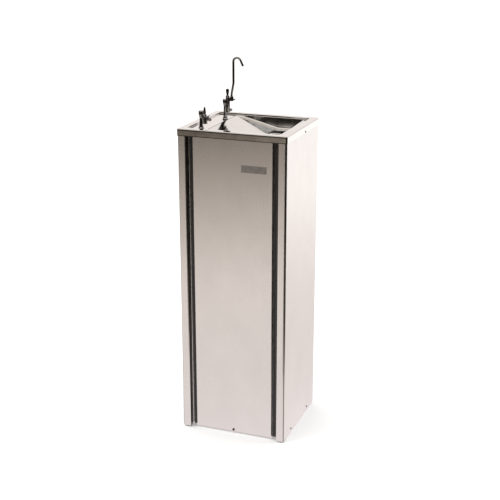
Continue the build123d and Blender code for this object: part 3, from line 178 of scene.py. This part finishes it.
def satin_steel(name):
    """Stainless sheet with a fine upright grain, faint clouding and wiped smears. The walls of the front
    grooves carry painted shade, near black like the trims between them, and so do the two front bends."""
    finish = Finish(name, Metallic=1.0)
    tint = (0.665, 0.655, 0.64)
    cloud = finish.noise((9, 9, 7), detail=5)
    streak = finish.noise((1100, 1100, 8), detail=2)
    smear = finish.noise((26, 26, 14), detail=6, roughness=0.7)
    light = tuple(min(1.0, value * 1.02) for value in tint)
    dark = tuple(value * 0.965 for value in tint)
    # Painted shade: a near black mask on the walls of the front grooves and on the two front bends
    wall = finish.ranged(finish.distance_from("X", 0.0, GROOVE_WALL_X), 1.0, 0.0, (0.0007, 0.0012))
    depth_span = (GROOVE_HALF_DEPTH, GROOVE_HALF_DEPTH + 0.001)
    depth = finish.ranged(finish.distance_from("Y", GROOVE_MIDDLE_Y), 1.0, 0.0, depth_span)
    groove = finish.combined(wall, depth, "MULTIPLY")
    bend_x = finish.ranged(finish.distance_from("X", 0.0, FRONT_BEND_X), 1.0, 0.0, (0.0010, 0.0022))
    bend_y = finish.ranged(finish.distance_from("Y", FRONT_BEND_Y), 1.0, 0.0, (0.0010, 0.0022))
    painted_shade_mask = finish.combined(groove, finish.combined(bend_x, bend_y, "MULTIPLY"), "MAXIMUM")
    painted_shade_colour = finish.blended(cloud, (0.020, 0.018, 0.016), (0.045, 0.040, 0.036))
    finish.colour(finish.mixed(painted_shade_mask, finish.blended(cloud, dark, light), painted_shade_colour))
    finish.rough(finish.combined(finish.ranged(streak, 0.235, 0.265), finish.ranged(smear, -0.015, 0.025)))
    finish.bumps((streak, 0.03, 0.00002), (cloud, 0.04, 0.002))
    return finish.material


def polished_steel(name):
    """Bright rolled stainless: nearly a mirror, with hair scratches and the faint waviness of pressed sheet.
    Painted shade draws dark lines along the fold where the deck turns down into the basin and along the edges
    of the skirt's front."""
    finish = Finish(name, Metallic=1.0)
    tint = (0.70, 0.69, 0.67)
    wave = finish.noise((11, 11, 11), detail=1)
    scratches = finish.noise((260, 1900, 260), detail=3)
    stain = finish.noise((38, 38, 38), detail=5, roughness=0.65)
    # Painted shade: a dark line along the fold where the deck turns down into the basin
    fold_line = finish.ranged(finish.distance_from("X", DECK_FOLD_X), 1.0, 0.0, (0.0008, 0.0022))
    fold_length = finish.ranged(finish.distance_from("Y", 0.0), 1.0, 0.0, (0.110, 0.128))
    fold_height = finish.ranged(finish.distance_from("Z", DECK_Z), 1.0, 0.0, (0.002, 0.004))
    fold = finish.combined(finish.combined(fold_line, fold_length, "MULTIPLY"), fold_height, "MULTIPLY")
    sheet = finish.blended(stain, tuple(value * 0.95 for value in tint), tint, (0.35, 0.6))
    deep, pale = (tuple(value * share for value in tint) for share in (0.14, 0.24))
    tarnish_and_painted_shade = finish.blended(stain, deep, pale)
    # Painted shade: dark lines along the top and bottom edges of the skirt's front
    skirt = finish.ranged(finish.distance_from("Y", SKIRT_FRONT_Y), 1.0, 0.0, (0.0015, 0.0040))
    low_edge = finish.ranged(finish.distance_from("Z", SKIRT_BOTTOM_Z), 1.0, 0.0, (0.0012, 0.0032))
    high_edge = finish.ranged(finish.distance_from("Z", SKIRT_TOP_Z), 0.8, 0.0, (0.0010, 0.0030))
    edges = finish.combined(finish.combined(low_edge, high_edge, "MAXIMUM"), skirt, "MULTIPLY")
    finish.colour(finish.mixed(finish.combined(fold, edges, "MAXIMUM"), sheet, tarnish_and_painted_shade))
    finish.rough(finish.combined(finish.ranged(scratches, 0.05, 0.10), finish.ranged(stain, 0.0, 0.05)))
    finish.bumps((wave, 0.10, 0.003), (scratches, 0.03, 0.00002))
    return finish.material


def chrome(name):
    """Chrome-plated brass with water spots and a slightly uneven plating."""
    finish = Finish(name, Metallic=1.0)
    spots = finish.cell_distance((420, 420, 420))
    wave = finish.noise((90, 90, 90), detail=2)
    finish.colour(finish.blended(wave, (0.33, 0.325, 0.32), (0.42, 0.415, 0.41)))
    finish.rough(finish.ranged(spots, 0.14, 0.05, (0.0, 0.35)))
    finish.bumps((wave, 0.05, 0.0006))
    return finish.material


def black_trim(name):
    """Glossy black extruded plastic with fine draw lines and a few dull rubs."""
    finish = Finish(name, Coat_Weight=0.4, Coat_Roughness=0.12, IOR=1.5)
    lines = finish.noise((1400, 1400, 4), detail=2)
    rub = finish.noise((30, 30, 9), detail=5)
    finish.colour(finish.blended(rub, (0.010, 0.0095, 0.009), (0.022, 0.020, 0.019)))
    finish.rough(finish.ranged(rub, 0.22, 0.42))
    finish.bumps((lines, 0.15, 0.00004))
    return finish.material


def rubber(name):
    """Black moulded rubber with a dusty bloom."""
    finish = Finish(name, Specular_IOR_Level=0.35)
    grain = finish.noise((1600, 1600, 1600), detail=3)
    dust = finish.noise((55, 55, 55), detail=5)
    finish.colour(finish.blended(dust, (0.018, 0.018, 0.018), (0.055, 0.052, 0.050)))
    finish.rough(finish.ranged(dust, 0.62, 0.86))
    finish.bumps((grain, 0.35, 0.00008))
    return finish.material


def anodised_plate(name):
    """Dark blank plate of brushed and anodised aluminium."""
    finish = Finish(name, Metallic=0.75)
    grain = finish.noise((14, 1100, 1100), detail=2)
    patches = finish.noise((95, 95, 95), detail=4)
    finish.colour(finish.blended(patches, (0.20, 0.185, 0.17), (0.26, 0.24, 0.22)))
    finish.rough(finish.ranged(grain, 0.36, 0.52))
    finish.bumps((grain, 0.2, 0.00004))
    return finish.material


def galvanised(name):
    """Zinc-coated sheet with its crystal spangle."""
    finish = Finish(name, Metallic=1.0)
    crystals = finish.cells((115, 115, 115))
    haze = finish.noise((16, 16, 16), detail=4)
    finish.colour(finish.blended(crystals, (0.47, 0.48, 0.49), (0.56, 0.57, 0.58), (0.1, 0.9)))
    dullness = finish.ranged(crystals, 0.34, 0.50, (0, 1))
    finish.rough(finish.combined(dullness, finish.ranged(haze, -0.03, 0.06)))
    finish.bumps((crystals, 0.10, 0.00006), (haze, 0.05, 0.001))
    return finish.material


def machined(name, low, high, rough=(0.22, 0.38)):
    """Turned or pressed bare metal with fine tool marks and dull patches."""
    finish = Finish(name, Metallic=1.0)
    marks = finish.noise((700, 700, 2600), detail=2)
    dull = finish.noise((60, 60, 60), detail=5)
    finish.colour(finish.blended(dull, low, high))
    finish.rough(finish.combined(finish.ranged(marks, *rough), finish.ranged(dull, 0.06, -0.02)))
    finish.bumps((marks, 0.12, 0.00005))
    return finish.material


def copper(name):
    """Drawn copper tube, browned by heat and handling."""
    finish = Finish(name, Metallic=1.0)
    tarnish_and_painted_shade = finish.noise((24, 24, 24), detail=6, roughness=0.65)
    draw = finish.noise((900, 900, 900), detail=2)
    finish.colour(finish.blended(tarnish_and_painted_shade, (0.34, 0.155, 0.085), (0.74, 0.36, 0.22), (0.32, 0.62)))
    finish.rough(finish.ranged(tarnish_and_painted_shade, 0.46, 0.20))
    finish.bumps((draw, 0.08, 0.00004))
    return finish.material


def enamel(name):
    """Thick black stove enamel with orange peel and dust on its shoulders."""
    finish = Finish(name, Coat_Weight=0.5, Coat_Roughness=0.1)
    peel = finish.noise((420, 420, 420), detail=2)
    dust = finish.noise((34, 34, 60), detail=6)
    finish.colour(finish.blended(dust, (0.012, 0.012, 0.013), (0.05, 0.048, 0.045), (0.45, 0.75)))
    finish.rough(finish.ranged(dust, 0.28, 0.5))
    finish.bumps((peel, 0.2, 0.0001))
    return finish.material


def foam(name):
    """Cream polyurethane foam: a lumpy skin with small open bubbles."""
    finish = Finish(name, Specular_IOR_Level=0.25)
    lumps = finish.noise((45, 45, 45), detail=4)
    bubbles = finish.cell_distance((380, 380, 380))
    finish.colour(finish.blended(lumps, (0.66, 0.52, 0.28), (0.84, 0.73, 0.48)))
    finish.rough(finish.ranged(bubbles, 0.95, 0.75, (0.0, 0.6)))
    finish.bumps((lumps, 0.5, 0.003), (bubbles, 0.4, 0.0006))
    return finish.material


def moulded_plastic(name, low, high):
    """Injection-moulded plastic with a fine spark-eroded texture and slight colour drift."""
    finish = Finish(name, IOR=1.48)
    grain = finish.noise((2200, 2200, 2200), detail=2)
    drift = finish.noise((40, 40, 40), detail=4)
    finish.colour(finish.blended(drift, low, high))
    finish.rough(finish.ranged(drift, 0.36, 0.5))
    finish.bumps((grain, 0.25, 0.00005))
    return finish.material


MATERIALS = {
    "satin_steel": satin_steel("satin_stainless"),
    "polished_steel": polished_steel("polished_stainless"),
    "chrome": chrome("chrome_plate"),
    "black_trim": black_trim("black_extrusion"),
    "rubber": rubber("black_rubber"),
    "badge": anodised_plate("dark_anodised_plate"),
    "galvanised": galvanised("galvanised_sheet"),
    "screw_steel": machined("screw_steel", (0.36, 0.36, 0.36), (0.55, 0.55, 0.54)),
    "dark_screw": machined("near_black_screws", (0.022, 0.020, 0.018), (0.055, 0.050, 0.046)),
    "brass": machined("turned_brass", (0.56, 0.40, 0.17), (0.80, 0.62, 0.30)),
    "copper": copper("copper_tube"),
    "black_paint": enamel("black_enamel"),
    "aluminium": machined("mill_aluminium", (0.62, 0.63, 0.64), (0.80, 0.81, 0.82), (0.26, 0.44)),
    "foam": foam("insulating_foam"),
    "black_plastic": moulded_plastic("black_plastic", (0.016, 0.016, 0.017), (0.030, 0.030, 0.031)),
    "grey_plastic": moulded_plastic("grey_plastic", (0.36, 0.37, 0.38), (0.46, 0.47, 0.48)),
}

# The shell's own screws are made near black; other bare steel keeps its slot's finish
DARK_SCREWS = ("cabinet_screws", "front_panel_screw")
SLOT_OF = {part["node"]: part["material_slot"] for part in frame["record"]["subparts"]}
SLOT_OF.update({node: "dark_screw" for node in DARK_SCREWS})
for node, node_object in NODES.items():
    node_object.data.materials.clear()
    node_object.data.materials.append(MATERIALS[SLOT_OF[node]])

# ---------------------------------------------------------------- studio


def glow(name, colour):
    """A plain emission material."""
    material = bpy.data.materials.new(name)
    material.use_nodes = True
    nodes = material.node_tree.nodes
    nodes.clear()
    emission = nodes.new("ShaderNodeEmission")
    emission.inputs["Color"].default_value = (*colour, 1)
    emission.inputs["Strength"].default_value = 1.0
    output = nodes.new("ShaderNodeOutputMaterial")
    material.node_tree.links.new(emission.outputs["Emission"], output.inputs["Surface"])
    material.cycles.emission_sampling = "NONE"
    return material


def stage_mesh(name, points, faces, material):
    """A piece of the studio, not part of the object."""
    mesh = bpy.data.meshes.new(name)
    mesh.from_pydata(points, [], faces)
    mesh.materials.append(material)
    made = bpy.data.objects.new(name, mesh)
    bpy.context.scene.collection.objects.link(made)
    return made


def only_reflected(card):
    """A card shows in glossy reflections alone, like a flag held out of the picture."""
    card.visible_camera = False
    card.visible_diffuse = False
    card.visible_shadow = False
    card.visible_transmission = False
    return card


def direction(azimuth):
    """Unit vector on the floor at an angle from the front (-Y), positive towards +X."""
    return math.sin(math.radians(azimuth)), -math.cos(math.radians(azimuth))


def curved_card(name, azimuths, heights, radius, material):
    """An upright curved card round the fountain, between two azimuths and two heights."""
    points = []
    for step in range(CARD_STEPS + 1):
        azimuth = azimuths[0] + (azimuths[1] - azimuths[0]) * step / CARD_STEPS
        x, y = direction(azimuth)
        points += [(radius * x, radius * y, heights[0]), (radius * x, radius * y, heights[1])]
    faces = [(2 * i, 2 * i + 2, 2 * i + 3, 2 * i + 1) for i in range(CARD_STEPS)]
    return only_reflected(stage_mesh(name, points, faces, material))


def level_ring(name, azimuths, radii, height, material):
    """A level sector between two radii, on the floor or overhead."""
    points = []
    for step in range(CARD_STEPS + 1):
        azimuth = azimuths[0] + (azimuths[1] - azimuths[0]) * step / CARD_STEPS
        x, y = direction(azimuth)
        points += [(radii[0] * x, radii[0] * y, height), (radii[1] * x, radii[1] * y, height)]
    faces = [(2 * i, 2 * i + 1, 2 * i + 3, 2 * i + 2) for i in range(CARD_STEPS)]
    return only_reflected(stage_mesh(name, points, faces, material))


def graded_glow(name, stops):
    """Emission that changes with the distance from the fountain, as (metres, colour) stops."""
    material = glow(name, (1, 1, 1))
    tree = material.node_tree
    reach = stops[-1][0]
    coordinates = tree.nodes.new("ShaderNodeTexCoord")
    length = tree.nodes.new("ShaderNodeVectorMath")
    length.operation = "LENGTH"
    tree.links.new(coordinates.outputs["Object"], length.inputs[0])
    share = tree.nodes.new("ShaderNodeMath")
    share.operation = "DIVIDE"
    share.inputs[1].default_value = reach
    tree.links.new(length.outputs["Value"], share.inputs[0])
    ramp = tree.nodes.new("ShaderNodeValToRGB")
    elements = ramp.color_ramp.elements
    while len(elements) < len(stops):
        elements.new(0.5)
    for element, (metres, colour) in zip(elements, stops):
        element.position = metres / reach
        element.color = (*colour, 1)
    tree.links.new(share.outputs["Value"], ramp.inputs["Fac"])
    emission = next(n for n in tree.nodes if n.type == "EMISSION")
    tree.links.new(ramp.outputs["Color"], emission.inputs["Color"])
    return material


def plain_floor():
    """Large pale floor under the fountain."""
    finish = Finish("pale_floor", Specular_IOR_Level=0.2)
    finish.colour(finish.blended(finish.noise((3, 3, 3)), (0.93, 0.93, 0.925), (0.95, 0.95, 0.945)))
    finish.rough(finish.ranged(finish.noise((5, 5, 5)), 0.7, 0.8))
    reach = 30.0
    points = [(-reach, -reach, 0), (reach, -reach, 0), (reach, reach, 0), (-reach, reach, 0)]
    floor = stage_mesh("floor", points, [(0, 1, 2, 3)], finish.material)
    floor.visible_glossy = False


def reflections():
    """What the steel mirrors: a bright sweep behind, a floor that dims to the front, a dark room in front."""
    warm_white = (1.06, 0.985, 0.96)
    dark = (0.020, 0.017, 0.014)
    near = [
        (0.0, (1.20, 1.10, 1.10)),
        (0.3, (1.08, 0.99, 0.98)),
        (0.75, (1.04, 0.95, 0.92)),
    ]
    front = [
        (NEAR_FLOOR_R, (1.04, 0.95, 0.92)),
        (1.7, (1.14, 1.03, 0.98)),
        (2.6, (0.78, 0.69, 0.62)),
        (3.5, (0.64, 0.55, 0.47)),
        (4.1, (0.62, 0.53, 0.45)),
        (4.35, (0.34, 0.285, 0.24)),
        (4.7, (0.15, 0.125, 0.10)),
        (FLOOR_R, (0.05, 0.042, 0.035)),
    ]
    rear = [
        (NEAR_FLOOR_R, (1.04, 0.95, 0.92)),
        (1.4, (1.10, 1.01, 0.98)),
        (3.0, (1.38, 1.30, 1.27)),
        (FLOOR_R, (1.45, 1.40, 1.38)),
    ]
    right = [
        (NEAR_FLOOR_R, (0.60, 0.52, 0.45)),
        (1.2, (0.16, 0.135, 0.11)),
        (2.5, dark),
        (FLOOR_R, dark),
    ]
    far = (NEAR_FLOOR_R, FLOOR_R)
    level_ring("floor_card_near", (0, 360), (0.0, NEAR_FLOOR_R), 0.0, graded_glow("floor_near", near))
    level_ring("floor_card_front", (-125, 15), far, 0.0, graded_glow("floor_front", front))
    level_ring("floor_card_right", (15, 118), far, 0.0, graded_glow("floor_right", right))
    level_ring("floor_card_rear", (118, 235), far, 0.0, graded_glow("floor_rear", rear))
    curved_card("dark_room", (-125, 125), (CARD_BOTTOM, 5.4), 5.9, glow("dark_room", dark))
    sweep_glow = glow("white_sweep", warm_white)
    curved_card("white_sweep", (125, 235), (CARD_BOTTOM, CEILING), FLOOR_R, sweep_glow)
    level_ring("light_ceiling", (0, 360), (0.0, 9.0), CEILING, glow("light_ceiling", (0.95, 0.88, 0.82)))


def soft_light(name, location, size, power):
    """A large soft area light aimed at the fountain's middle."""
    lamp = bpy.data.lights.new(name, "AREA")
    lamp.shape = "DISK"
    lamp.size = size
    lamp.energy = power
    made = bpy.data.objects.new(name, lamp)
    made.location = location
    aim = Vector((0, 0, 0.5)) - Vector(location)
    made.rotation_euler = aim.to_track_quat("-Z", "Y").to_euler()
    made.visible_glossy = False
    bpy.context.scene.collection.objects.link(made)


def studio():
    """Pale floor, reflection cards, a white world and two soft lights."""
    plain_floor()
    reflections()
    world = bpy.data.worlds.new("studio")
    world.use_nodes = True
    background = world.node_tree.nodes["Background"]
    background.inputs["Color"].default_value = (1.0, 1.0, 1.0, 1)
    background.inputs["Strength"].default_value = 1.2
    bpy.context.scene.world = world
    soft_light("key_light", (-2.2, -1.6, 3.4), 2.2, 60.0)
    soft_light("fill_light", (2.6, 1.8, 2.8), 2.4, 40.0)


def camera():
    """Stands front right of the fountain at eye height, with a short telephoto lens."""
    lens = bpy.data.cameras.new("camera")
    lens.sensor_width = 36.0
    lens.lens = 75.2
    made = bpy.data.objects.new("camera", lens)
    made.location = (1.119, -2.999, 1.634)
    made.rotation_euler = (math.radians(90 - 18.15), 0, math.radians(20.44))
    bpy.context.scene.collection.objects.link(made)
    bpy.context.scene.camera = made


studio()
camera()
bpy.context.scene.view_settings.view_transform = "Standard"
